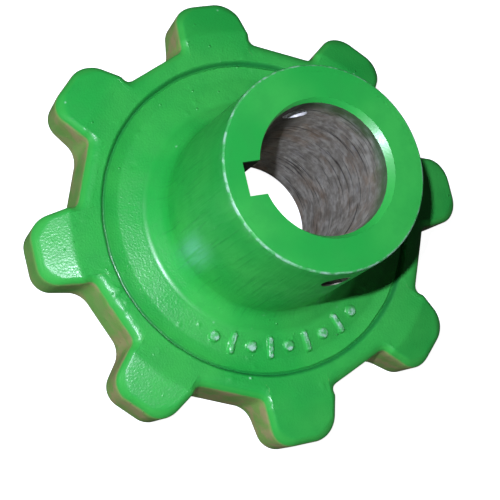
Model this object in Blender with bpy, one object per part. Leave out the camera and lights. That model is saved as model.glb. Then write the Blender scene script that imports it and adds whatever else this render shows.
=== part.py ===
"""Cast iron drive sprocket for a roller chain: eight teeth, a long hub on one side and a keyed bore.

The sprocket is one casting. Its axis is Z, the back plane of the rim and teeth is z = 0, and the hub
rises along +Z. One tooth points along +X, and the keyway is cut towards -X. All sizes are in metres.
"""

import math

import bmesh
import bpy
from mathutils import Matrix, Vector

# Chain that the teeth drive
TEETH = 8
CHAIN_PITCH = 0.0414
ROLLER_DIAMETER = 0.01676

# Teeth and rim
PITCH_ANGLE = 2 * math.pi / TEETH
PITCH_RADIUS = CHAIN_PITCH / (2 * math.sin(PITCH_ANGLE / 2))
ROOT_RADIUS = PITCH_RADIUS - ROLLER_DIAMETER / 2
TIP_RADIUS = 0.0574
TOOTH_BASE_HALF_WIDTH = 0.00943
FLANK_ANGLE = math.radians(9)
TIP_CORNER_RADIUS = 0.0053
FRONT_ROOT_CORNER_RADIUS = 0.0028
BACK_ROOT_CORNER_RADIUS = 0.0060
RIM_THICKNESS = 0.0152
FRONT_SPREAD = 0.0006
SPREAD_START_RADIUS = 0.0465
SPREAD_END_RADIUS = 0.0490
TAPER_START_RADIUS = 0.049
TAPER_ANGLE = math.radians(17)
FRONT_EDGE_RADIUS = 0.0022
BACK_EDGE_RADIUS = 0.0008

# Web, the disc between the rim and the hub: a shallow cone, a hollow at its foot and a step to the rim
STEP_TOP_RADIUS = 0.0406
STEP_FOOT_RADIUS = 0.0401
STEP_HEIGHT = 0.0008
HOLLOW_RADIUS = 0.0365
HOLLOW_HEIGHT = 0.0140
WEB_SLOPE = math.radians(12)
WEB_CREASE_RADIUS = 0.0299
BACK_RECESS_DEPTH = 0.0043
BACK_RECESS_RADIUS = 0.0375
BACK_RECESS_FOOT_RADIUS = 0.0350

# Hub
OVERALL_HEIGHT = 0.0583
HUB_END_RADIUS = 0.0249
HUB_FOOT_RADIUS = 0.0255
HUB_FILLET_RADIUS = 0.0050
FOOT_CONE_SLOPE = math.radians(36)
HUB_EDGE_RADIUS = 0.0007

# Machined features
BORE_RADIUS = 0.015875
BORE_CHAMFER = 0.0014
KEYWAY_WIDTH = 0.0079375
KEYWAY_FLOOR_RADIUS = 0.0198
CROSS_HOLE_RADIUS = 0.0030
CROSS_HOLE_HEIGHT = 0.0492

# Raised foundry tally on the web: plain dots and bars on an arc around the -Y side
MARK_COUNT = 9
MARK_RING_RADIUS = 0.0336
MARK_STEP_ANGLE = math.radians(8.5)
MARK_HEIGHT = 0.0008
MARK_DOT_RADIUS = 0.0014
MARK_BAR_LENGTH = 0.0054
MARK_BAR_WIDTH = 0.0016

# Fineness of the mesh
TIP_CORNER_STEPS = 4
ROOT_CORNER_STEPS = 3
EDGE_STEPS = 3
HUB_FILLET_STEPS = 6
HOLLOW_STEPS = 3
HOLE_SEGMENTS = 32
SMOOTH_ANGLE = math.radians(32)
CUTTER_MARGIN = 0.005


def clear_scene():
    for item in list(bpy.data.objects):
        bpy.data.objects.remove(item, do_unlink=True)


def paint_material(name, color, roughness, metallic):
    material = bpy.data.materials.new(name)
    material.use_nodes = True
    shader = material.node_tree.nodes["Principled BSDF"]
    shader.inputs["Base Color"].default_value = (*color, 1.0)
    shader.inputs["Roughness"].default_value = roughness
    shader.inputs["Metallic"].default_value = metallic
    return material


def add_object(name, mesh):
    item = bpy.data.objects.new(name, mesh)
    bpy.context.scene.collection.objects.link(item)
    return item


def arc(center, radius, start, end, steps):
    """Points on an arc of the (radius, height) plane, both ends included."""
    points = []
    for i in range(steps + 1):
        angle = start + (end - start) * i / steps
        points.append((center[0] + radius * math.cos(angle), center[1] + radius * math.sin(angle)))
    return points


def rounded_corner(before, corner, after, radius, steps):
    """Points and outward normals of a corner rounded by an arc; outward is to the left of the path."""
    way_in = (corner - before).normalized()
    way_out = (after - corner).normalized()
    turn = way_out.angle_signed(way_in)
    bulge = -1.0 if turn > 0 else 1.0
    start = corner - way_in * radius * math.tan(abs(turn) / 2)
    normal_in = Vector((-way_in.y, way_in.x))
    points = []
    for i in range(steps + 1):
        normal = normal_in.copy()
        normal.rotate(Matrix.Rotation(turn * i / steps, 2))
        points.append((start + (normal - normal_in) * radius * bulge, normal))
    return points


def half_tooth(root_corner_radius):
    """Points and outward normals of half a tooth that points along +Y, from its tip to the gap's centre."""
    gap_direction = Vector((math.sin(PITCH_ANGLE / 2), math.cos(PITCH_ANGLE / 2)))
    base_height = (ROOT_RADIUS - TOOTH_BASE_HALF_WIDTH * gap_direction.x) / gap_direction.y
    tip_half_width = TOOTH_BASE_HALF_WIDTH - (TIP_RADIUS - base_height) * math.tan(FLANK_ANGLE)
    tip_center = Vector((0.0, TIP_RADIUS))
    tip_corner = Vector((tip_half_width, TIP_RADIUS))
    root_corner = Vector((TOOTH_BASE_HALF_WIDTH, base_height))
    gap_center = gap_direction * ROOT_RADIUS
    points = [(tip_center, Vector((0.0, 1.0)))]
    points += rounded_corner(tip_center, tip_corner, root_corner, TIP_CORNER_RADIUS, TIP_CORNER_STEPS)
    points += rounded_corner(tip_corner, root_corner, gap_center, root_corner_radius, ROOT_CORNER_STEPS)
    points.append((gap_center, gap_direction))
    return points


def toothed_outline(root_corner_radius):
    """Points and outward normals all round the sprocket, anticlockwise, starting in the gap before +X."""
    half = half_tooth(root_corner_radius)
    mirrored = [(Vector((-p.x, p.y)), Vector((-n.x, n.y))) for p, n in half[1:-1]]
    whole = list(reversed(half)) + mirrored
    outline = []
    for tooth in range(TEETH):
        turn = Matrix.Rotation(tooth * PITCH_ANGLE - math.pi / 2, 2)
        for point, normal in whole:
            outline.append((turn @ point, turn @ normal))
    return outline


def front_height(point):
    """Height of the rim's front: flat, then falling away towards the tooth tips."""
    return RIM_THICKNESS - max(0.0, point.length - TAPER_START_RADIUS) * math.tan(TAPER_ANGLE)


def front_spread(point):
    """How far the front outline of a tooth stands out past its back outline; nothing in the gaps."""
    share = (point.length - SPREAD_START_RADIUS) / (SPREAD_END_RADIUS - SPREAD_START_RADIUS)
    return FRONT_SPREAD * min(1.0, max(0.0, share))


def circle_ring(radius, height, count):
    ring = []
    for i in range(count):
        angle = -PITCH_ANGLE / 2 + 2 * math.pi * i / count
        ring.append(Vector((radius * math.cos(angle), radius * math.sin(angle), height)))
    return ring


def web_height(radius):
    """Height of the web's cone, which rises from its hollow towards the hub."""
    return HOLLOW_HEIGHT + (HOLLOW_RADIUS - radius) * math.tan(WEB_SLOPE)


def hollow_profile():
    """The concave sweep from the web's hollow out to the foot of the rim's step."""
    width = STEP_FOOT_RADIUS - HOLLOW_RADIUS
    rise = RIM_THICKNESS - STEP_HEIGHT - HOLLOW_HEIGHT
    points = []
    for i in range(HOLLOW_STEPS + 1):
        share = i / HOLLOW_STEPS
        points.append((HOLLOW_RADIUS + width * share, HOLLOW_HEIGHT + rise * share**2))
    return points


def inner_profile():
    """(radius, height) points from the bore's back edge up over the hub to the top of the web's step."""
    top = OVERALL_HEIGHT
    fillet_end_radius = HUB_FOOT_RADIUS + HUB_FILLET_RADIUS * (1 - math.sin(FOOT_CONE_SLOPE))
    cone_rise = (WEB_CREASE_RADIUS - fillet_end_radius) * math.tan(FOOT_CONE_SLOPE)
    cone_foot = web_height(WEB_CREASE_RADIUS)
    fillet_height = cone_foot + cone_rise + HUB_FILLET_RADIUS * math.cos(FOOT_CONE_SLOPE)
    fillet_center = (HUB_FOOT_RADIUS + HUB_FILLET_RADIUS, fillet_height)
    fillet_end = 1.5 * math.pi - FOOT_CONE_SLOPE
    edge_center = (HUB_END_RADIUS - HUB_EDGE_RADIUS, top - HUB_EDGE_RADIUS)
    profile = [
        (BORE_RADIUS, BACK_RECESS_DEPTH + BORE_CHAMFER),
        (BORE_RADIUS, top - BORE_CHAMFER),
        (BORE_RADIUS + BORE_CHAMFER, top),
    ]
    profile += arc(edge_center, HUB_EDGE_RADIUS, math.pi / 2, 0.0, 2)
    profile += arc(fillet_center, HUB_FILLET_RADIUS, math.pi, fillet_end, HUB_FILLET_STEPS)
    profile.append((WEB_CREASE_RADIUS, cone_foot))
    profile += hollow_profile()
    profile.append((STEP_TOP_RADIUS, RIM_THICKNESS))
    return profile


def rim_rings(front_outline, back_outline):
    """Rings across the rim's front, over its rounded edge, down its side and onto its back."""
    count = len(front_outline)
    inner = circle_ring(STEP_TOP_RADIUS, RIM_THICKNESS, count)
    rings = []
    taper_ring = []
    for (point, normal), start in zip(front_outline, inner):
        flat_edge = point + normal * (front_spread(point) - FRONT_EDGE_RADIUS)
        start_point = start.to_2d()
        reach = (TAPER_START_RADIUS - STEP_TOP_RADIUS) / (flat_edge.length - STEP_TOP_RADIUS)
        middle = start_point.lerp(flat_edge, min(0.6, reach))
        taper_ring.append(middle.to_3d() + Vector((0.0, 0.0, front_height(middle))))
    rings.append(taper_ring)
    for step in range(EDGE_STEPS + 1):
        angle = math.pi / 2 * (1 - step / EDGE_STEPS)
        inset = FRONT_EDGE_RADIUS * (1 - math.cos(angle))
        drop = FRONT_EDGE_RADIUS * (1 - math.sin(angle))
        ring = []
        for point, normal in front_outline:
            place = point + normal * (front_spread(point) - inset)
            ring.append(Vector((place.x, place.y, front_height(place) - drop)))
        rings.append(ring)
    rings.append([Vector((p.x, p.y, BACK_EDGE_RADIUS)) for p, n in back_outline])
    rings.append([(p - n * BACK_EDGE_RADIUS).to_3d() for p, n in back_outline])
    return rings


def casting_mesh():
    """The turned and toothed body: rings of equal count, joined in a closed loop of strips."""
    front_outline = toothed_outline(FRONT_ROOT_CORNER_RADIUS)
    back_outline = toothed_outline(BACK_ROOT_CORNER_RADIUS)
    count = len(front_outline)
    rings = [circle_ring(radius, height, count) for radius, height in inner_profile()]
    rings += rim_rings(front_outline, back_outline)
    rings.append(circle_ring(BACK_RECESS_RADIUS, 0.0, count))
    rings.append(circle_ring(BACK_RECESS_FOOT_RADIUS, BACK_RECESS_DEPTH, count))
    rings.append(circle_ring(BORE_RADIUS + BORE_CHAMFER, BACK_RECESS_DEPTH, count))
    mesh = bpy.data.meshes.new("sprocket_casting")
    shape = bmesh.new()
    rows = [[shape.verts.new(point) for point in ring] for ring in rings]
    for row, following in zip(rows, rows[1:] + rows[:1]):
        for i in range(count):
            after = (i + 1) % count
            shape.faces.new((row[i], following[i], following[after], row[after]))
    shape.to_mesh(mesh)
    shape.free()
    return mesh


def box_into(shape, low, high):
    size = Vector(high) - Vector(low)
    center = (Vector(high) + Vector(low)) / 2
    matrix = Matrix.Translation(center) @ Matrix.Diagonal((*size, 1.0))
    bmesh.ops.create_cube(shape, size=1.0, matrix=matrix)


def keyway_mesh():
    mesh = bpy.data.meshes.new("keyway_cutter")
    shape = bmesh.new()
    low = (-KEYWAY_FLOOR_RADIUS, -KEYWAY_WIDTH / 2, -CUTTER_MARGIN)
    high = (-BORE_RADIUS / 2, KEYWAY_WIDTH / 2, OVERALL_HEIGHT + CUTTER_MARGIN)
    box_into(shape, low, high)
    shape.to_mesh(mesh)
    shape.free()
    return mesh


def cross_hole_mesh():
    mesh = bpy.data.meshes.new("cross_hole_cutter")
    shape = bmesh.new()
    length = 2 * (HUB_FOOT_RADIUS + CUTTER_MARGIN)
    place = Matrix.Translation((0.0, 0.0, CROSS_HOLE_HEIGHT)) @ Matrix.Rotation(math.pi / 2, 4, "X")
    bmesh.ops.create_cone(
        shape,
        cap_ends=True,
        segments=HOLE_SEGMENTS,
        radius1=CROSS_HOLE_RADIUS,
        radius2=CROSS_HOLE_RADIUS,
        depth=length,
        matrix=place,
    )
    shape.to_mesh(mesh)
    shape.free()
    return mesh


def foundry_marks_mesh():
    """Round dots and radial bars in turn, square to the web's cone and half sunk in it."""
    mesh = bpy.data.meshes.new("foundry_marks")
    shape = bmesh.new()
    on_cone = Matrix.Translation((MARK_RING_RADIUS, 0.0, web_height(MARK_RING_RADIUS)))
    on_cone = on_cone @ Matrix.Rotation(WEB_SLOPE, 4, "Y")
    for i in range(MARK_COUNT):
        angle = -math.pi / 2 + (i - (MARK_COUNT - 1) / 2) * MARK_STEP_ANGLE
        place = Matrix.Rotation(angle, 4, "Z") @ on_cone
        if i % 2:
            size = Matrix.Diagonal((MARK_BAR_LENGTH, MARK_BAR_WIDTH, 2 * MARK_HEIGHT, 1.0))
            bmesh.ops.create_cube(shape, size=1.0, matrix=place @ size)
        else:
            bmesh.ops.create_cone(
                shape,
                cap_ends=True,
                segments=HOLE_SEGMENTS // 2,
                radius1=MARK_DOT_RADIUS,
                radius2=MARK_DOT_RADIUS,
                depth=2 * MARK_HEIGHT,
                matrix=place,
            )
    shape.to_mesh(mesh)
    shape.free()
    return mesh


def add_guide(name, mesh):
    """A helper shape that a Boolean reads and that isn't part of the object."""
    guide = add_object(name, mesh)
    guide.hide_render = True
    guide.display_type = "WIRE"
    return guide


def add_boolean(item, guide, operation):
    modifier = item.modifiers.new(guide.name, "BOOLEAN")
    modifier.operation = operation
    modifier.object = guide
    modifier.solver = "EXACT"


def build_sprocket():
    mesh = casting_mesh()
    mesh.shade_smooth()
    mesh.set_sharp_from_angle(angle=SMOOTH_ANGLE)
    casting = add_object("sprocket_casting", mesh)
    casting.data.materials.append(paint_material("green_enamel", (0.02, 0.36, 0.07), 0.3, 0.0))
    add_boolean(casting, add_guide("foundry_marks", foundry_marks_mesh()), "UNION")
    add_boolean(casting, add_guide("keyway_cutter", keyway_mesh()), "DIFFERENCE")
    add_boolean(casting, add_guide("cross_hole_cutter", cross_hole_mesh()), "DIFFERENCE")


clear_scene()
build_sprocket()
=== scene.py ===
"""The looks of the cast chain sprocket: a fine casting in glossy green enamel, with a bare machined bore.

All sizes are in metres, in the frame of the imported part: the bore's axis is Z, the rim's back plane is z = 0.
"""

import math

import bpy
import numpy as np
from mathutils import Matrix, Vector, noise


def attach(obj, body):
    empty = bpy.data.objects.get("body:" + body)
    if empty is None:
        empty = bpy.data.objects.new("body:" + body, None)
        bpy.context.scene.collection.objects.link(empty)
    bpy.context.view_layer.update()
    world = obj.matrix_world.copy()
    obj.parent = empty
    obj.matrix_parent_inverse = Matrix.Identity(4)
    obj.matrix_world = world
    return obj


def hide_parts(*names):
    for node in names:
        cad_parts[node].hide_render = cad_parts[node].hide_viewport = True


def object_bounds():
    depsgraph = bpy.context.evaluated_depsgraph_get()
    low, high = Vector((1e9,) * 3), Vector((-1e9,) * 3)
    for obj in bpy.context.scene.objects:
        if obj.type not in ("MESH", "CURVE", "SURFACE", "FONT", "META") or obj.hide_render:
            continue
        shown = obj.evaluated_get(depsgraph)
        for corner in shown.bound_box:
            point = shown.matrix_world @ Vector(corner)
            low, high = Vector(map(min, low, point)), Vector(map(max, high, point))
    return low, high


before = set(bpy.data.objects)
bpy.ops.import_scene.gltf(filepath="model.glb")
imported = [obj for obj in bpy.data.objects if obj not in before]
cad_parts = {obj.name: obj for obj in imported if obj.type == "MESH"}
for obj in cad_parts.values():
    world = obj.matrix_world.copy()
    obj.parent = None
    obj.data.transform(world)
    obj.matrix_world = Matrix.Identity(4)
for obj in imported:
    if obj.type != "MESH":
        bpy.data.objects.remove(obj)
cad_low, cad_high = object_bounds()

# Chain and teeth
TEETH = 8
CHAIN_PITCH = 0.0414
ROLLER_DIAMETER = 0.01676
PITCH_ANGLE = 2 * math.pi / TEETH
ROOT_RADIUS = CHAIN_PITCH / (2 * math.sin(PITCH_ANGLE / 2)) - ROLLER_DIAMETER / 2
FRONT_SPREAD = 0.0006
TIP_RADIUS = cad_high.x - FRONT_SPREAD
TOOTH_BASE_HALF_WIDTH = 0.00943
FLANK_ANGLE = math.radians(9)
TIP_CORNER_RADIUS = 0.0053
FRONT_ROOT_CORNER_RADIUS = 0.0028
BACK_ROOT_CORNER_RADIUS = 0.0060
SPREAD_START_RADIUS = 0.0465
SPREAD_END_RADIUS = 0.0490
RIM_THICKNESS = 0.0152
TAPER_START_RADIUS = 0.049
TAPER_ANGLE = math.radians(17)
FRONT_EDGE_WIDTH = 0.0017
GAP_EDGE_WIDTH = 0.0031
FRONT_EDGE_DROP = 0.0022
TIP_CROWN_START_RADIUS = 0.0505
TIP_CROWN_WIDTH = 0.0010
BACK_EDGE_RADIUS = 0.0008

# Web, and the step up from it to the rim
STEP_TOP_RADIUS = 0.0413
STEP_FOOT_RADIUS = 0.0396
STEP_HEIGHT = 0.0008
STEP_GROOVE_DEPTH = 0.0006
STEP_WANDER = 0.00025
RIM_START_RADIUS = STEP_TOP_RADIUS + 0.0012
# Radius of the painted shade along the step's groove
STEP_SHADE_RADIUS = STEP_FOOT_RADIUS + 0.0009
HOLLOW_RADIUS = 0.0365
HOLLOW_HEIGHT = 0.0140
WEB_SLOPE = math.radians(12)
WEB_CREASE_RADIUS = 0.0299
BACK_RECESS_DEPTH = 0.0043
BACK_RECESS_RADIUS = 0.0375
BACK_RECESS_FOOT_RADIUS = 0.0350

# Hub and bore
OVERALL_HEIGHT = cad_high.z - cad_low.z
HUB_END_RADIUS = 0.0249
HUB_FOOT_RADIUS = 0.0255
HUB_FILLET_RADIUS = 0.0050
FOOT_CONE_SLOPE = math.radians(36)
CREASE_RADIUS = 0.0038
HUB_EDGE_RADIUS = 0.0007
BORE_RADIUS = 0.015875
BORE_CHAMFER = 0.0009
CHAMFER_OFFSET = 0.0008
KEYWAY_HALF_WIDTH = 0.0079375 / 2
KEYWAY_FLOOR_RADIUS = 0.0198
CROSS_HOLE_RADIUS = 0.0030
CROSS_HOLE_HEIGHT = 0.0492
CROSS_HOLE_FLARE = 0.0005

# Raised foundry tally: plain dots and bars
MARK_COUNT = 9
MARK_RING_RADIUS = 0.0336
MARK_STEP_ANGLE = math.radians(8.5)
MARK_HEIGHT = 0.0008
MARK_DOT_RADIUS = 0.0014
MARK_BAR_LENGTH = 0.0054
MARK_BAR_WIDTH = 0.0016
MARK_SLOPE_WIDTH = 0.0004

# Rough patch of skin beside the gap between the -X tooth and the next one towards -Y
ROUGH_PATCH_ANGLE = math.radians(-161)
ROUGH_PATCH_RADIUS = 0.0430

# Painted sheen, a pale patch on the hub's side standing in for a soft reflection: the angle from +X, on the -Y
# side, and the height of its middle
SHEEN_PATCH_ANGLE = math.radians(160)
SHEEN_PATCH_HEIGHT = 0.0275

# Key lamp: its direction and distance from the hub's end, its width and its power
KEY_DIRECTION = Vector((-0.513, -0.060, 0.856))
KEY_DISTANCE = 0.45
KEY_SIZE = 0.012
KEY_POWER = 2.25
FLOOR_CLEARANCE = 0.0002

# Fineness of the mesh
COLUMNS_PER_TOOTH = 84
COLUMNS = TEETH * COLUMNS_PER_TOOTH
KEYWAY_COLUMNS = 60
CORNER_STEPS = 24
SHARP_ANGLE = math.radians(18)

# Camera, fitted to the photographed outlines
CAMERA_PLACE = (-0.1645, -0.0749, 0.3892)
CAMERA_RIGHT = (0.90934, -0.22724, 0.34854)
CAMERA_UP = (0.14985, 0.96036, 0.23514)
CAMERA_LENS = 118.9
SENSOR_WIDTH = 36.0


# ---------------------------------------------------------------- outline of the teeth


def rounded_corner(before, corner, after, radius):
    """Points and outward normals of a corner rounded by an arc; outward is to the left of the path."""
    way_in = (corner - before).normalized()
    way_out = (after - corner).normalized()
    turn = way_out.angle_signed(way_in)
    bulge = -1.0 if turn > 0 else 1.0
    start = corner - way_in * radius * math.tan(abs(turn) / 2)
    normal_in = Vector((-way_in.y, way_in.x))
    points = []
    for i in range(CORNER_STEPS + 1):
        normal = normal_in.copy()
        normal.rotate(Matrix.Rotation(turn * i / CORNER_STEPS, 2))
        points.append((start + (normal - normal_in) * radius * bulge, normal))
    return points


def half_tooth(root_corner_radius):
    """Points and outward normals of half a tooth that points along +Y, from its tip to the gap's centre."""
    gap_direction = Vector((math.sin(PITCH_ANGLE / 2), math.cos(PITCH_ANGLE / 2)))
    base_height = (ROOT_RADIUS - TOOTH_BASE_HALF_WIDTH * gap_direction.x) / gap_direction.y
    tip_half_width = TOOTH_BASE_HALF_WIDTH - (TIP_RADIUS - base_height) * math.tan(FLANK_ANGLE)
    tip_center = Vector((0.0, TIP_RADIUS))
    tip_corner = Vector((tip_half_width, TIP_RADIUS))
    root_corner = Vector((TOOTH_BASE_HALF_WIDTH, base_height))
    gap_center = gap_direction * ROOT_RADIUS
    points = [(tip_center, Vector((0.0, 1.0)))]
    points += rounded_corner(tip_center, tip_corner, root_corner, TIP_CORNER_RADIUS)
    points += rounded_corner(tip_corner, root_corner, gap_center, root_corner_radius)
    points.append((gap_center, gap_direction))
    return points


def toothed_outline(root_corner_radius):
    """Arrays of points and outward normals, evenly spaced all round, starting in the gap before +X."""
    half = half_tooth(root_corner_radius)
    mirrored = [(Vector((-p.x, p.y)), Vector((-n.x, n.y))) for p, n in half[1:]]
    whole = list(reversed(half)) + mirrored
    points = np.array([p for p, n in whole])
    normals = np.array([n for p, n in whole])
    lengths = np.concatenate([[0.0], np.cumsum(np.linalg.norm(np.diff(points, axis=0), axis=1))])
    stations = np.arange(COLUMNS_PER_TOOTH) / COLUMNS_PER_TOOTH * lengths[-1]
    spots = np.stack([np.interp(stations, lengths, points[:, k]) for k in (0, 1)], axis=1)
    facing = np.stack([np.interp(stations, lengths, normals[:, k]) for k in (0, 1)], axis=1)
    facing /= np.linalg.norm(facing, axis=1)[:, None]
    all_spots = []
    all_facing = []
    for tooth in range(TEETH):
        angle = tooth * PITCH_ANGLE - math.pi / 2
        turn = np.array([[math.cos(angle), math.sin(angle)], [-math.sin(angle), math.cos(angle)]])
        all_spots.append(spots @ turn)
        all_facing.append(facing @ turn)
    return np.concatenate(all_spots), np.concatenate(all_facing)


FRONT_OUTLINE, FRONT_NORMALS = toothed_outline(FRONT_ROOT_CORNER_RADIUS)
BACK_OUTLINE, BACK_NORMALS = toothed_outline(BACK_ROOT_CORNER_RADIUS)
OUTLINE_ANGLES = np.unwrap(np.arctan2(FRONT_OUTLINE[:, 1], FRONT_OUTLINE[:, 0]))
EVEN_ANGLES = -PITCH_ANGLE / 2 + 2 * math.pi * np.arange(COLUMNS) / COLUMNS


# ---------------------------------------------------------------- rings of the casting


def smooth_share(value, low, high):
    share = np.clip((value - low) / (high - low), 0.0, 1.0)
    return share * share * (3 - 2 * share)


def circle(radius):
    """Points of a circle whose columns lean towards the outline's as it nears the rim."""
    lean = 0.6 * smooth_share(radius, HUB_FOOT_RADIUS, STEP_FOOT_RADIUS)
    angles = EVEN_ANGLES + lean * (OUTLINE_ANGLES - EVEN_ANGLES)
    return np.stack([radius * np.cos(angles), radius * np.sin(angles)], axis=1)


def at_height(points, height):
    return np.column_stack([points, np.broadcast_to(height, len(points))])


def circle_ring(radius, height):
    return at_height(circle(radius), height)


def keyed_outline(radius, offset=0.0):
    """The bore's outline: a circle, set off along +X, with the square keyway notched in on the -X side."""
    angles = EVEN_ANGLES.copy()
    middle = COLUMNS // 2 + COLUMNS_PER_TOOTH // 2
    low = middle - KEYWAY_COLUMNS // 2
    high = middle + KEYWAY_COLUMNS // 2
    wall_columns = KEYWAY_COLUMNS // 5
    points = np.zeros((COLUMNS, 2))
    mouth_angle = math.pi - math.asin(KEYWAY_HALF_WIDTH / radius)
    before = np.linspace(angles[0], mouth_angle, low + 1)
    step = 2 * math.pi / COLUMNS
    after = np.linspace(2 * math.pi - mouth_angle, angles[-1] + step, COLUMNS - high + 1)[:-1]
    points[: low + 1] = np.stack([radius * np.cos(before), radius * np.sin(before)], axis=1)
    points[high:] = np.stack([radius * np.cos(after), radius * np.sin(after)], axis=1)
    points[:, 0] += offset
    mouth = points[low, 0]
    for k in range(wall_columns + 1):
        depth = mouth + (-KEYWAY_FLOOR_RADIUS - mouth) * k / wall_columns
        points[low + k] = (depth, KEYWAY_HALF_WIDTH)
        points[high - k] = (depth, -KEYWAY_HALF_WIDTH)
    floor_columns = KEYWAY_COLUMNS - 2 * wall_columns
    for k in range(floor_columns + 1):
        across = KEYWAY_HALF_WIDTH * (1 - 2 * k / floor_columns)
        points[low + wall_columns + k] = (-KEYWAY_FLOOR_RADIUS, across)
    return points


def front_height(points):
    """Height of the rim's front: flat, then falling away towards the tooth tips."""
    reach = np.linalg.norm(points, axis=1) - TAPER_START_RADIUS
    return RIM_THICKNESS - np.maximum(0.0, reach) * math.tan(TAPER_ANGLE)


def web_height(radius):
    return HOLLOW_HEIGHT + (HOLLOW_RADIUS - radius) * math.tan(WEB_SLOPE)


def arc(center, radius, start, end, steps):
    points = []
    for i in range(steps + 1):
        angle = start + (end - start) * i / steps
        points.append((center[0] + radius * math.cos(angle), center[1] + radius * math.sin(angle)))
    return points


def between(start, end, steps):
    """Evenly spaced (radius, height) points after start and before end."""
    shares = [i / steps for i in range(1, steps)]
    return [(start[0] + (end[0] - start[0]) * s, start[1] + (end[1] - start[1]) * s) for s in shares]


def bore_rings():
    """Rings along the bore, from its back chamfer to its front one."""
    bottom = BACK_RECESS_DEPTH + BORE_CHAMFER
    top = OVERALL_HEIGHT - BORE_CHAMFER
    outline = keyed_outline(BORE_RADIUS)
    return [at_height(outline, bottom + (top - bottom) * i / 8) for i in range(9)]


def hub_profile():
    """(radius, height) points over the hub's edge, down its side and its foot, and out over the web."""
    edge_center = (HUB_END_RADIUS - HUB_EDGE_RADIUS, OVERALL_HEIGHT - HUB_EDGE_RADIUS)
    fillet_end_radius = HUB_FOOT_RADIUS + HUB_FILLET_RADIUS * (1 - math.sin(FOOT_CONE_SLOPE))
    cone_rise = (WEB_CREASE_RADIUS - fillet_end_radius) * math.tan(FOOT_CONE_SLOPE)
    cone_foot = web_height(WEB_CREASE_RADIUS)
    fillet_height = cone_foot + cone_rise + HUB_FILLET_RADIUS * math.cos(FOOT_CONE_SLOPE)
    fillet_center = (HUB_FOOT_RADIUS + HUB_FILLET_RADIUS, fillet_height)
    fillet = arc(fillet_center, HUB_FILLET_RADIUS, math.pi, 1.5 * math.pi - FOOT_CONE_SLOPE, 11)
    tangent = CREASE_RADIUS * math.tan((FOOT_CONE_SLOPE - WEB_SLOPE) / 2)
    crease_end = (
        WEB_CREASE_RADIUS + tangent * math.cos(WEB_SLOPE),
        cone_foot - tangent * math.sin(WEB_SLOPE),
    )
    crease_center = (
        crease_end[0] + CREASE_RADIUS * math.sin(WEB_SLOPE),
        crease_end[1] + CREASE_RADIUS * math.cos(WEB_SLOPE),
    )
    crease_start = 1.5 * math.pi - FOOT_CONE_SLOPE
    crease = arc(crease_center, CREASE_RADIUS, crease_start, 1.5 * math.pi - WEB_SLOPE, 7)
    profile = arc(edge_center, HUB_EDGE_RADIUS, math.pi / 2, 0.0, 6)
    profile += between(profile[-1], fillet[0], 16)
    profile += fillet + between(fillet[-1], crease[0], 4) + crease
    hollow_start = (HOLLOW_RADIUS, HOLLOW_HEIGHT)
    profile += between(crease[-1], hollow_start, 18)
    width = STEP_FOOT_RADIUS - HOLLOW_RADIUS
    rise = RIM_THICKNESS - STEP_HEIGHT - HOLLOW_HEIGHT
    profile += [(HOLLOW_RADIUS + width * i / 7, HOLLOW_HEIGHT + rise * (i / 7) ** 2) for i in range(7)]
    return profile


def step_profile():
    """The step up from the web to the rim: a shallow groove, then a slope with a rounded top."""
    low = RIM_THICKNESS - STEP_HEIGHT
    width = STEP_TOP_RADIUS - STEP_FOOT_RADIUS
    points = []
    for i in range(9):
        share = i / 8
        groove = STEP_GROOVE_DEPTH * math.sin(math.pi * min(1.0, share / 0.7)) ** 2
        height = low - groove + STEP_HEIGHT * float(smooth_share(share, 0.35, 1.0))
        points.append((STEP_FOOT_RADIUS + width * share, height))
    return points


def tip_corner_share():
    """1 in the middle of each rounded tip corner of the front outline, 0 on the flanks and in the gaps."""
    radius = np.linalg.norm(FRONT_OUTLINE, axis=1)
    tooth_angle = np.round(OUTLINE_ANGLES / PITCH_ANGLE) * PITCH_ANGLE
    facing = np.arctan2(FRONT_NORMALS[:, 1], FRONT_NORMALS[:, 0]) - tooth_angle
    facing = np.abs((facing + math.pi) % (2 * math.pi) - math.pi)
    share = np.sin(np.clip(facing / (math.pi / 2 - FLANK_ANGLE), 0.0, 1.0) * math.pi)
    return share * smooth_share(radius, TIP_CROWN_START_RADIUS, TIP_CROWN_START_RADIUS + 0.003)


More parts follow.
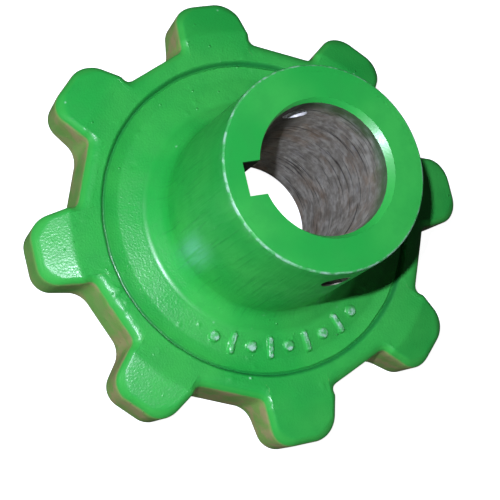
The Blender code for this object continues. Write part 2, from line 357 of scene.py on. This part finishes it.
def rim_rings():
    """Rings across the rim's front, over its rounded edge, down its side and onto its back."""
    radius = np.linalg.norm(FRONT_OUTLINE, axis=1)
    on_tooth = smooth_share(radius, SPREAD_START_RADIUS, SPREAD_END_RADIUS)
    edge = FRONT_OUTLINE + FRONT_NORMALS * (FRONT_SPREAD * on_tooth)[:, None]
    edge_width = GAP_EDGE_WIDTH + (FRONT_EDGE_WIDTH - GAP_EDGE_WIDTH) * on_tooth
    edge_width += TIP_CROWN_WIDTH * tip_corner_share()
    flat_edge = edge - FRONT_NORMALS * edge_width[:, None]
    inner = circle(STEP_TOP_RADIUS + 0.0003)
    edge_reach = np.linalg.norm(flat_edge, axis=1)
    crease = np.minimum(0.6, (TAPER_START_RADIUS - STEP_TOP_RADIUS) / (edge_reach - STEP_TOP_RADIUS))
    shares = [crease * i / 9 for i in range(1, 10)]
    shares += [crease + (1 - crease) * i / 11 for i in range(1, 11)]
    rings = []
    for share in shares:
        points = inner + (flat_edge - inner) * share[:, None]
        rings.append(at_height(points, front_height(points)))
    edge_steps = 8
    for step in range(edge_steps + 1):
        angle = math.pi / 2 * (1 - step / edge_steps)
        inset = edge_width * (1 - math.cos(angle))
        drop = FRONT_EDGE_DROP * (1 - math.sin(angle))
        points = edge - FRONT_NORMALS * inset[:, None]
        rings.append(at_height(points, front_height(points) - drop))
    top = rings[-1]
    back = at_height(BACK_OUTLINE, BACK_EDGE_RADIUS)
    for i in range(1, 7):
        rings.append(top + (back - top) * i / 6)
    for i in range(1, 7):
        angle = math.pi / 2 * i / 6
        inset = BACK_EDGE_RADIUS * (1 - math.cos(angle))
        height = BACK_EDGE_RADIUS * (1 - math.sin(angle))
        rings.append(at_height(BACK_OUTLINE - BACK_NORMALS * inset, height))
    return rings


def back_rings():
    """Rings over the back: the rim's back face, the recess, the hub's back face and the bore's edge."""
    outer = BACK_OUTLINE - BACK_NORMALS * BACK_EDGE_RADIUS
    inner = circle(BACK_RECESS_RADIUS)
    rings = [at_height(outer + (inner - outer) * i / 4, 0.0) for i in range(1, 5)]
    rings.append(circle_ring(BACK_RECESS_RADIUS - 0.0005, 0.0002))
    rings.append(circle_ring(BACK_RECESS_FOOT_RADIUS + 0.0006, BACK_RECESS_DEPTH - 0.0006))
    rings.append(circle_ring(BACK_RECESS_FOOT_RADIUS, BACK_RECESS_DEPTH))
    edge = keyed_outline(BORE_RADIUS + BORE_CHAMFER)
    start = circle(BACK_RECESS_FOOT_RADIUS)
    for i in range(1, 6):
        rings.append(at_height(start + (edge - start) * i / 5, BACK_RECESS_DEPTH))
    return rings


def casting_rings():
    """All rings in one closed loop, and the number of rings that line the bore."""
    bore = bore_rings()
    mouth = keyed_outline(BORE_RADIUS + BORE_CHAMFER, CHAMFER_OFFSET)
    hub_edge = circle(HUB_END_RADIUS - HUB_EDGE_RADIUS)
    face = [at_height(mouth + (hub_edge - mouth) * i / 5, OVERALL_HEIGHT) for i in range(5)]
    turned = [circle_ring(radius, height) for radius, height in hub_profile() + step_profile()]
    return bore + face + turned + rim_rings() + back_rings(), len(bore)


# ---------------------------------------------------------------- cast surface


def grid_normals(grid):
    along = np.roll(grid, -1, axis=0) - np.roll(grid, 1, axis=0)
    around = np.roll(grid, -1, axis=1) - np.roll(grid, 1, axis=1)
    normals = np.cross(along, around)
    return normals / np.maximum(np.linalg.norm(normals, axis=2), 1e-12)[:, :, None]


def noise_field(grid, wavelength, seed):
    """Smooth noise, mostly between -1 and 1, at each point of the grid."""
    offset = Vector((seed * 11.3, seed * 5.7, seed * 3.1))
    flat = grid.reshape(-1, 3) / wavelength
    values = [noise.noise(Vector(p) + offset) for p in flat]
    return np.array(values).reshape(grid.shape[:2])


def mark_field(grid):
    """Height of the raised dots and bars over the web at each point of the grid."""
    radius = np.linalg.norm(grid[:, :, :2], axis=2)
    angle = np.arctan2(grid[:, :, 1], grid[:, :, 0])
    height = np.zeros(radius.shape)
    for i in range(MARK_COUNT):
        center = -math.pi / 2 + (i - (MARK_COUNT - 1) / 2) * MARK_STEP_ANGLE
        across = MARK_RING_RADIUS * (angle - center)
        along = radius - MARK_RING_RADIUS
        if i % 2:
            half = (MARK_BAR_LENGTH - MARK_BAR_WIDTH) / 2
            distance = np.hypot(np.maximum(np.abs(along) - half, 0.0), across) - MARK_BAR_WIDTH / 2
        else:
            distance = np.hypot(along, across) - MARK_DOT_RADIUS
        rise = 1 - smooth_share(distance, -MARK_SLOPE_WIDTH, MARK_SLOPE_WIDTH / 2)
        height = np.maximum(height, rise)
    in_front = grid[:, :, 2] > HOLLOW_HEIGHT / 2
    return height * in_front * MARK_HEIGHT


def pimple_field(grid):
    """Height of small sand pimples and pits on the web and rim, thickest beside one tooth gap."""
    rng = np.random.default_rng(7)
    height = np.zeros(grid.shape[:2])
    for i in range(130):
        angle = rng.uniform(-math.pi, math.pi)
        radius = rng.uniform(0.031, 0.046)
        if i % 3 == 0:
            angle = ROUGH_PATCH_ANGLE + rng.normal(0.0, 0.10)
            radius = ROUGH_PATCH_RADIUS + rng.normal(0.0, 0.0010)
        size = rng.uniform(0.0004, 0.0008)
        lift = rng.uniform(-0.00012, 0.00022)
        gap = np.hypot(grid[:, :, 0] - radius * math.cos(angle), grid[:, :, 1] - radius * math.sin(angle))
        height += lift * np.exp(-((gap / size) ** 2))
    return height * (grid[:, :, 2] > HOLLOW_HEIGHT / 2)


def cast_surface(grid, bore_count):
    """The grid with a wandering step, then moved along its normals by the skin's waves, marks and pimples."""
    radius = np.linalg.norm(grid[:, :, :2], axis=2)
    step_gap = np.abs(radius - (STEP_FOOT_RADIUS + STEP_TOP_RADIUS) / 2)
    near_step = (1 - smooth_share(step_gap, 0.0006, 0.0018)) * (grid[:, :, 2] > HOLLOW_HEIGHT / 2)
    wander = STEP_WANDER * noise_field(grid, 0.006, 5) * near_step
    grid[:, :, :2] *= (1 + wander / np.maximum(radius, BORE_RADIUS / 2))[:, :, None]
    normals = grid_normals(grid)
    skin = np.ones(grid.shape[:2])
    skin[: bore_count + 1] = 0.0
    skin[-3:] = 0.0
    on_hub_face = grid[:, :, 2] > OVERALL_HEIGHT - 0.0015
    skin *= np.where(on_hub_face, 0.15, 1.0)
    waves = 0.00006 * noise_field(grid, 0.012, 1) + 0.00002 * noise_field(grid, 0.0042, 2)
    lift = waves * skin + mark_field(grid) + pimple_field(grid)
    lift *= np.where(radius < BORE_RADIUS + BORE_CHAMFER, 0.0, 1.0)
    grid += normals * lift[:, :, None]
    grid[:, :, 2] = np.clip(grid[:, :, 2], 0.0, OVERALL_HEIGHT)
    return grid


def wall_mask(grid):
    """1 on the teeth's side walls, fading out over the rounded front edge."""
    radius = np.linalg.norm(grid[:, :, :2], axis=2)
    normals = grid_normals(grid)
    upright = 1 - smooth_share(np.abs(normals[:, :, 2]), 0.10, 0.45)
    return upright * (radius > RIM_START_RADIUS)


def edge_mask(grid):
    """1 along the rounded front edge of the rim and teeth."""
    radius = np.linalg.norm(grid[:, :, :2], axis=2)
    normals = grid_normals(grid)
    tilt = normals[:, :, 2]
    band = smooth_share(tilt, 0.25, 0.55) * (1 - smooth_share(tilt, 0.80, 0.93))
    return band * (radius > RIM_START_RADIUS)


def smooth_mask(grid):
    """High on the turned hub end, the hub's side, the web's crease and the rounded edges; 0 on sandy skin."""
    radius = np.linalg.norm(grid[:, :, :2], axis=2)
    in_front = grid[:, :, 2] > HOLLOW_HEIGHT / 2
    side = 1 - smooth_share(radius, HUB_FOOT_RADIUS + 0.0005, HUB_FOOT_RADIUS + 0.0030)
    end = smooth_share(grid[:, :, 2], OVERALL_HEIGHT - 0.0012, OVERALL_HEIGHT - 0.0002)
    crease = 1 - smooth_share(np.abs(radius - WEB_CREASE_RADIUS), 0.0004, 0.0012)
    smooth = np.maximum(0.75 * side, 0.8 * crease) * in_front
    return np.maximum(np.maximum(smooth, end * 0.9), 0.8 * edge_mask(grid))


def side_mask(grid):
    """1 on the hub's side, 0 on its turned end and on the web."""
    radius = np.linalg.norm(grid[:, :, :2], axis=2)
    outside = smooth_share(radius, HUB_END_RADIUS - 0.0008, HUB_END_RADIUS - 0.0004)
    inside = 1 - smooth_share(radius, HUB_FOOT_RADIUS + 0.0005, HUB_FOOT_RADIUS + 0.0030)
    return outside * inside * (grid[:, :, 2] > RIM_THICKNESS)


def worn_and_highlight_mask(grid):
    """High where the paint is pale: rubbed paint on the hub's outer end edge and the tops of the raised marks,
    made paler still as a painted highlight.
    """
    radius = np.linalg.norm(grid[:, :, :2], axis=2)
    out = smooth_share(radius, HUB_END_RADIUS - 0.0006, HUB_END_RADIUS - 0.0002)
    edge = out * smooth_share(grid[:, :, 2], OVERALL_HEIGHT - 0.0008, OVERALL_HEIGHT - 0.0004)
    marks = smooth_share(mark_field(grid) / MARK_HEIGHT, 0.6, 0.95)
    return np.maximum(0.75 * edge, 0.85 * marks)


def grid_mesh(name, grid, bore_count):
    rows, columns = grid.shape[:2]
    index = np.arange(rows * columns).reshape(rows, columns)
    below = np.roll(index, -1, axis=0)
    corners = np.stack([index, below, np.roll(below, -1, axis=1), np.roll(index, -1, axis=1)], axis=2)
    mesh = bpy.data.meshes.new(name)
    mesh.from_pydata(grid.reshape(-1, 3), [], corners.reshape(-1, 4))
    rings = np.repeat(np.arange(rows), columns)
    bare = (rings < bore_count - 1) | (rings == rows - 1)
    mesh.polygons.foreach_set("material_index", bare.astype(np.int32))
    return mesh


def add_values(mesh, name, values):
    attribute = mesh.attributes.new(name, "FLOAT", "POINT")
    attribute.data.foreach_set("value", values.reshape(-1).astype(np.float32))


def cross_hole_cutter(materials):
    """A round cutter along Y that flares at the hub's side; its -Y end leaves dull iron, the rest clean iron
    whose near-white colour is partly a painted highlight.
    """
    segments = 64
    surface = HUB_END_RADIUS
    stations = [
        (-surface - 0.002, CROSS_HOLE_RADIUS + CROSS_HOLE_FLARE),
        (-surface + 0.0002, CROSS_HOLE_RADIUS + CROSS_HOLE_FLARE),
        (-surface + 0.0010, CROSS_HOLE_RADIUS),
        (surface - 0.0010, CROSS_HOLE_RADIUS),
        (surface - 0.0002, CROSS_HOLE_RADIUS + CROSS_HOLE_FLARE),
        (surface + 0.002, CROSS_HOLE_RADIUS + CROSS_HOLE_FLARE),
    ]
    verts = []
    for place, radius in stations:
        for i in range(segments):
            angle = 2 * math.pi * i / segments
            verts.append((radius * math.cos(angle), place, CROSS_HOLE_HEIGHT + radius * math.sin(angle)))
    faces = []
    for row in range(len(stations) - 1):
        for i in range(segments):
            after = (i + 1) % segments
            start = row * segments
            faces.append((start + after, start + i, start + segments + i, start + segments + after))
    faces.append(tuple(range(segments)))
    faces.append(tuple(reversed(range((len(stations) - 1) * segments, len(stations) * segments))))
    mesh = bpy.data.meshes.new("cross_hole_cutter")
    mesh.from_pydata(verts, [], faces)
    for material in materials:
        mesh.materials.append(material)
    dull_or_painted_bright = [1 if face.center.y < -BORE_RADIUS else 2 for face in mesh.polygons]
    mesh.polygons.foreach_set("material_index", dull_or_painted_bright)
    cutter = bpy.data.objects.new("cross_hole_cutter", mesh)
    bpy.context.scene.collection.objects.link(cutter)
    return cutter


def cut(item, cutter):
    """Takes the cutter out of the item's mesh for good, and removes the cutter."""
    modifier = item.modifiers.new("cut", "BOOLEAN")
    modifier.operation = "DIFFERENCE"
    modifier.solver = "EXACT"
    modifier.object = cutter
    evaluated = item.evaluated_get(bpy.context.evaluated_depsgraph_get())
    result = bpy.data.meshes.new_from_object(evaluated)
    item.modifiers.remove(modifier)
    item.data = result
    bpy.data.objects.remove(cutter, do_unlink=True)


# ---------------------------------------------------------------- materials


class Nodes:
    """Short ways to add and join shader nodes in one material."""

    def __init__(self, name):
        self.material = bpy.data.materials.new(name)
        self.material.use_nodes = True
        self.tree = self.material.node_tree
        self.shader = self.tree.nodes["Principled BSDF"]
        self.place = self.add("ShaderNodeTexCoord").outputs["Object"]

    def add(self, kind, **settings):
        node = self.tree.nodes.new(kind)
        for key, value in settings.items():
            setattr(node, key, value)
        return node

    def join(self, source, target):
        if isinstance(source, bpy.types.NodeSocket):
            self.tree.links.new(source, target)
        else:
            target.default_value = source

    def noise(self, scale, detail=2.0, roughness=0.5, vector=None):
        node = self.add("ShaderNodeTexNoise")
        self.join(vector or self.place, node.inputs["Vector"])
        node.inputs["Scale"].default_value = scale
        node.inputs["Detail"].default_value = detail
        node.inputs["Roughness"].default_value = roughness
        return node.outputs["Fac"]

    def ramp(self, value, low, high, to_low=0.0, to_high=1.0):
        node = self.add("ShaderNodeMapRange")
        node.interpolation_type = "SMOOTHSTEP"
        self.join(value, node.inputs["Value"])
        node.inputs["From Min"].default_value = low
        node.inputs["From Max"].default_value = high
        node.inputs["To Min"].default_value = to_low
        node.inputs["To Max"].default_value = to_high
        return node.outputs["Result"]

    def math(self, operation, first, second=0.0):
        node = self.add("ShaderNodeMath", operation=operation)
        self.join(first, node.inputs[0])
        self.join(second, node.inputs[1])
        return node.outputs[0]

    def mix(self, share, first, second):
        node = self.add("ShaderNodeMix", data_type="RGBA")
        self.join(share, node.inputs["Factor"])
        for value, key in ((first, "A"), (second, "B")):
            socket = [s for s in node.inputs if s.name == key and s.type == "RGBA"][0]
            self.join(value if isinstance(value, bpy.types.NodeSocket) else (*value, 1.0), socket)
        return [s for s in node.outputs if s.type == "RGBA"][0]

    def bell(self, value, middle, width):
        """1 where the value is at the middle, fading to 0 on both sides."""
        gap = self.math("ABSOLUTE", self.math("SUBTRACT", value, middle))
        return self.ramp(gap, 0.0, 2 * width, 1.0, 0.0)

    def value(self, name):
        return self.add("ShaderNodeAttribute", attribute_name=name).outputs["Fac"]

    def combine(self, x, y, z):
        node = self.add("ShaderNodeCombineXYZ")
        for value, socket in zip((x, y, z), node.inputs):
            self.join(value, socket)
        return node.outputs[0]

    def split(self):
        return self.add_split(self.place)

    def add_split(self, vector):
        node = self.add("ShaderNodeSeparateXYZ")
        self.join(vector, node.inputs[0])
        return node.outputs

    def bump(self, height, distance):
        node = self.add("ShaderNodeBump")
        self.join(height, node.inputs["Height"])
        node.inputs["Distance"].default_value = distance
        node.inputs["Strength"].default_value = 1.0
        return node.outputs["Normal"]


def specks(nodes, scale, size, share):
    """Sparse round specks: 1 at the middle of a few of the cells, 0 between them."""
    cells = nodes.add("ShaderNodeTexVoronoi")
    nodes.join(nodes.place, cells.inputs["Vector"])
    cells.inputs["Scale"].default_value = scale
    red = nodes.add_split(cells.outputs["Color"])[0]
    chosen = nodes.ramp(red, 1 - share, 1 - share + 0.01)
    return nodes.math("MULTIPLY", nodes.ramp(cells.outputs["Distance"], size, 0.0), chosen)


def green_enamel():
    """Glossy green paint, sprayed from the front over a sand-cast skin, a light brownish coat on the side
    walls, whose olive-brown is partly a painted reflection of brown surroundings.
    """
    nodes = Nodes("green_enamel")
    x, y, z = nodes.split()
    turn = nodes.math("ARCTAN2", y, x)
    broad = nodes.noise(45.0, 2.0)
    patchy = nodes.noise(210.0, 3.0, 0.6)
    grain = nodes.noise(1900.0, 1.0, 0.5)
    pimples = specks(nodes, 430.0, 0.18, 0.22)
    streak_place = nodes.combine(nodes.math("MULTIPLY", turn, 26.0), 0.0, nodes.math("MULTIPLY", z, 60.0))
    streaks = nodes.noise(1.0, 3.0, 0.6, streak_place)
    side = nodes.value("side")
    wall = nodes.value("wall")
    edge = nodes.value("edge")
    rough = nodes.math("SUBTRACT", 1.0, nodes.value("smooth"))

    paint = nodes.mix(nodes.ramp(broad, 0.35, 0.65), (0.021, 0.440, 0.062), (0.050, 0.510, 0.080))
    paint = nodes.mix(nodes.ramp(patchy, 0.35, 0.75, 0.0, 0.40), paint, (0.021, 0.385, 0.056))
    drawn = nodes.math("MULTIPLY", nodes.ramp(streaks, 0.54, 0.68, 0.0, 0.45), side)
    paint = nodes.mix(drawn, paint, (0.012, 0.290, 0.042))
    # Painted sheen: a pale bluish patch on the hub's -Y side, standing in for a soft reflection
    painted_sheen = nodes.bell(nodes.math("ABSOLUTE", turn), SHEEN_PATCH_ANGLE, 0.13)
    painted_sheen = nodes.math("MULTIPLY", painted_sheen, nodes.bell(z, SHEEN_PATCH_HEIGHT, 0.006))
    painted_sheen = nodes.math("MULTIPLY", painted_sheen, nodes.ramp(streaks, 0.30, 0.65, 0.35, 1.0))
    painted_sheen = nodes.math("MULTIPLY", painted_sheen, nodes.math("LESS_THAN", y, 0.0))
    paint = nodes.mix(nodes.math("MULTIPLY", painted_sheen, 0.80), paint, (0.200, 0.680, 0.400))
    # Light coat on the side walls, its olive-brown partly a painted reflection of brown surroundings
    thin_paint_and_reflection = nodes.mix(nodes.ramp(patchy, 0.40, 0.62), (0.290, 0.510, 0.120), (0.490, 0.450, 0.190))
    thin_paint_and_reflection = nodes.mix(nodes.ramp(broad, 0.45, 0.70, 0.0, 0.75), thin_paint_and_reflection, (0.170, 0.530, 0.100))
    chips = nodes.ramp(nodes.noise(480.0, 3.0, 0.65), 0.42, 0.62, 0.10, 0.90)
    color = nodes.mix(nodes.math("MULTIPLY", edge, 0.30), paint, (0.085, 0.540, 0.078))
    # Painted highlights: sparse pale dots on the sandy skin, standing in for small glints
    speck_glints = nodes.math("MULTIPLY", specks(nodes, 330.0, 0.16, 0.10), rough)
    color = nodes.mix(nodes.math("MULTIPLY", speck_glints, 0.9), color, (0.420, 0.860, 0.520))
    radius = nodes.math("SQRT", nodes.math("ADD", nodes.math("MULTIPLY", x, x), nodes.math("MULTIPLY", y, y)))
    # Painted shade: a dark green band on the sandy skin along the step's groove
    step_shade = nodes.math("MULTIPLY", nodes.bell(radius, STEP_SHADE_RADIUS, 0.0005), rough)
    color = nodes.mix(nodes.math("MULTIPLY", step_shade, 0.6), color, (0.006, 0.140, 0.045))
    color = nodes.mix(wall, color, thin_paint_and_reflection)
    # Rubbed paint and painted highlight: pale bluish chips on the hub's end edge and the marks' tops
    color = nodes.mix(nodes.math("MULTIPLY", nodes.value("worn_and_highlight"), chips), color, (0.540, 0.780, 0.650))
    nodes.join(color, nodes.shader.inputs["Base Color"])

    nodes.join(nodes.ramp(patchy, 0.3, 0.7, 0.28, 0.38), nodes.shader.inputs["Roughness"])
    skin = nodes.math("ADD", nodes.math("MULTIPLY", patchy, 0.20), nodes.math("MULTIPLY", grain, 0.85))
    skin = nodes.math("ADD", skin, nodes.math("MULTIPLY", pimples, 2.2))
    drag = nodes.math("MULTIPLY", streaks, nodes.math("MULTIPLY", side, 1.6))
    height = nodes.math("ADD", nodes.math("MULTIPLY", skin, rough), drag)
    nodes.join(nodes.bump(height, 0.00009), nodes.shader.inputs["Normal"])
    nodes.shader.inputs["Coat Weight"].default_value = 0.25
    nodes.shader.inputs["Coat Roughness"].default_value = 0.42
    return nodes.material


def bare_iron():
    """Bored iron: tool rings, rust tints, green overspray at the front end, and painted shade towards -X."""
    nodes = Nodes("bare_iron")
    x, y, z = nodes.split()
    turn = nodes.math("ARCTAN2", y, x)
    line_place = nodes.combine(nodes.math("MULTIPLY", turn, 0.9), 0.0, nodes.math("MULTIPLY", z, 800.0))
    scuff_place = nodes.combine(nodes.math("MULTIPLY", turn, 4.0), 3.0, nodes.math("MULTIPLY", z, 1100.0))
    lines = nodes.noise(1.0, 4.0, 0.7, line_place)
    scuffs = nodes.noise(1.0, 2.0, 0.6, scuff_place)
    patches = nodes.noise(120.0, 4.0, 0.65)
    clouds = nodes.noise(420.0, 3.0, 0.6)

    iron = nodes.mix(nodes.ramp(clouds, 0.3, 0.7), (0.620, 0.570, 0.470), (0.920, 0.890, 0.780))
    iron = nodes.mix(nodes.ramp(patches, 0.45, 0.70, 0.0, 0.7), iron, (0.660, 0.470, 0.310))
    iron = nodes.mix(nodes.ramp(scuffs, 0.56, 0.72, 0.0, 0.60), iron, (0.950, 0.930, 0.900))
    iron = nodes.mix(nodes.ramp(lines, 0.34, 0.47, 0.80, 0.0), iron, (0.120, 0.105, 0.090))
    fade = nodes.math("ADD", z, nodes.math("MULTIPLY", patches, 0.016))
    overspray = nodes.ramp(fade, OVERALL_HEIGHT - 0.0005, OVERALL_HEIGHT + 0.0075)
    iron = nodes.mix(nodes.math("MULTIPLY", overspray, 0.75), iron, (0.060, 0.300, 0.080))
    # Painted shade: the bore darkens towards -X, where it lies in the key lamp's shadow
    bore_shade = nodes.ramp(x, -0.001, 0.006, 0.92, 0.0)
    iron = nodes.mix(bore_shade, iron, (0.040, 0.045, 0.025))
    nodes.join(iron, nodes.shader.inputs["Base Color"])
    nodes.shader.inputs["Metallic"].default_value = 0.65
    nodes.join(nodes.ramp(clouds, 0.3, 0.7, 0.42, 0.62), nodes.shader.inputs["Roughness"])
    height = nodes.math("ADD", lines, nodes.math("MULTIPLY", scuffs, 0.5))
    nodes.join(nodes.bump(height, 0.00006), nodes.shader.inputs["Normal"])
    return nodes.material


def drilled_iron_and_highlight():
    """The drilled cross hole and its flare on the +Y side: clean iron, given a near-white colour that partly
    stands in for a highlight where the hole lies in shade.
    """
    nodes = Nodes("drilled_iron_and_highlight")
    nodes.shader.inputs["Base Color"].default_value = (0.93, 0.93, 0.91, 1.0)
    nodes.shader.inputs["Metallic"].default_value = 0.15
    nodes.shader.inputs["Roughness"].default_value = 0.35
    return nodes.material


def floor_material():
    """A pale light table: matt white, with a soft glow of its own."""
    nodes = Nodes("light_table")
    nodes.shader.inputs["Base Color"].default_value = (0.82, 0.82, 0.82, 1.0)
    nodes.shader.inputs["Roughness"].default_value = 0.9
    nodes.shader.inputs["Emission Color"].default_value = (1.0, 1.0, 1.0, 1.0)
    nodes.shader.inputs["Emission Strength"].default_value = 0.97
    return nodes.material


# ---------------------------------------------------------------- the piece, the stage and the light


def build_casting():
    rings, bore_count = casting_rings()
    grid = cast_surface(np.array(rings), bore_count)
    mesh = grid_mesh("enamelled_casting", grid, bore_count)
    add_values(mesh, "wall", wall_mask(grid))
    add_values(mesh, "edge", edge_mask(grid))
    add_values(mesh, "smooth", smooth_mask(grid))
    add_values(mesh, "side", side_mask(grid))
    add_values(mesh, "worn_and_highlight", worn_and_highlight_mask(grid))
    materials = (green_enamel(), bare_iron(), drilled_iron_and_highlight())
    for material in materials:
        mesh.materials.append(material)
    piece = bpy.data.objects.new("enamelled_casting", mesh)
    bpy.context.scene.collection.objects.link(piece)
    cut(piece, cross_hole_cutter(materials))
    piece.data.shade_smooth()
    piece.data.set_sharp_from_angle(angle=SHARP_ANGLE)
    return piece


def build_floor():
    size = 3.0
    mesh = bpy.data.meshes.new("floor")
    corners = [(-size, -size, 0.0), (size, -size, 0.0), (size, size, 0.0), (-size, size, 0.0)]
    mesh.from_pydata(corners, [], [(0, 1, 2, 3)])
    mesh.materials.append(floor_material())
    floor = bpy.data.objects.new("floor", mesh)
    floor.location.z = cad_low.z - FLOOR_CLEARANCE
    floor.visible_diffuse = False
    floor.visible_glossy = False
    bpy.context.scene.collection.objects.link(floor)
    return floor


def area_light(name, place, target, size, power):
    light = bpy.data.lights.new(name, "AREA")
    light.shape = "DISK"
    light.size = size
    light.energy = power
    lamp = bpy.data.objects.new(name, light)
    bpy.context.scene.collection.objects.link(lamp)
    lamp.location = place
    lamp.rotation_euler = (Vector(target) - Vector(place)).to_track_quat("-Z", "Y").to_euler()
    return lamp


def build_lights():
    """A small cool lamp near the camera, and two soft fills that show in no reflection."""
    target = Vector((HUB_END_RADIUS, 0.0, OVERALL_HEIGHT))
    place = target + KEY_DIRECTION * KEY_DISTANCE
    key = area_light("key_light", place, target, KEY_SIZE, KEY_POWER)
    key.data.color = (0.78, 0.82, 1.0)
    fills = [
        area_light("left_softbox", (-0.60, 0.05, 0.20), target, 0.30, 1.4),
        area_light("low_fill", (-0.25, -0.60, 0.03), (0.0, 0.0, 0.01), 0.12, 0.8),
    ]
    for fill in fills:
        fill.data.color = (0.80, 0.89, 1.0)
        fill.visible_glossy = False
    world = bpy.data.worlds.new("studio")
    world.use_nodes = True
    background = world.node_tree.nodes["Background"]
    background.inputs["Color"].default_value = (0.95, 0.97, 1.0, 1.0)
    background.inputs["Strength"].default_value = 0.025
    bpy.context.scene.world = world


def build_camera():
    right = Vector(CAMERA_RIGHT)
    up = Vector(CAMERA_UP)
    data = bpy.data.cameras.new("camera")
    data.sensor_width = SENSOR_WIDTH
    data.lens = CAMERA_LENS
    data.clip_start = 0.01
    camera = bpy.data.objects.new("camera", data)
    turn = Matrix((right, up, right.cross(up))).transposed().to_4x4()
    camera.matrix_world = Matrix.Translation(CAMERA_PLACE) @ turn
    bpy.context.scene.collection.objects.link(camera)
    bpy.context.scene.camera = camera


bpy.context.scene.view_settings.view_transform = "Standard"
build_camera()
build_lights()
floor = build_floor()
casting = build_casting()
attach(casting, "root")
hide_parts("sprocket_casting")
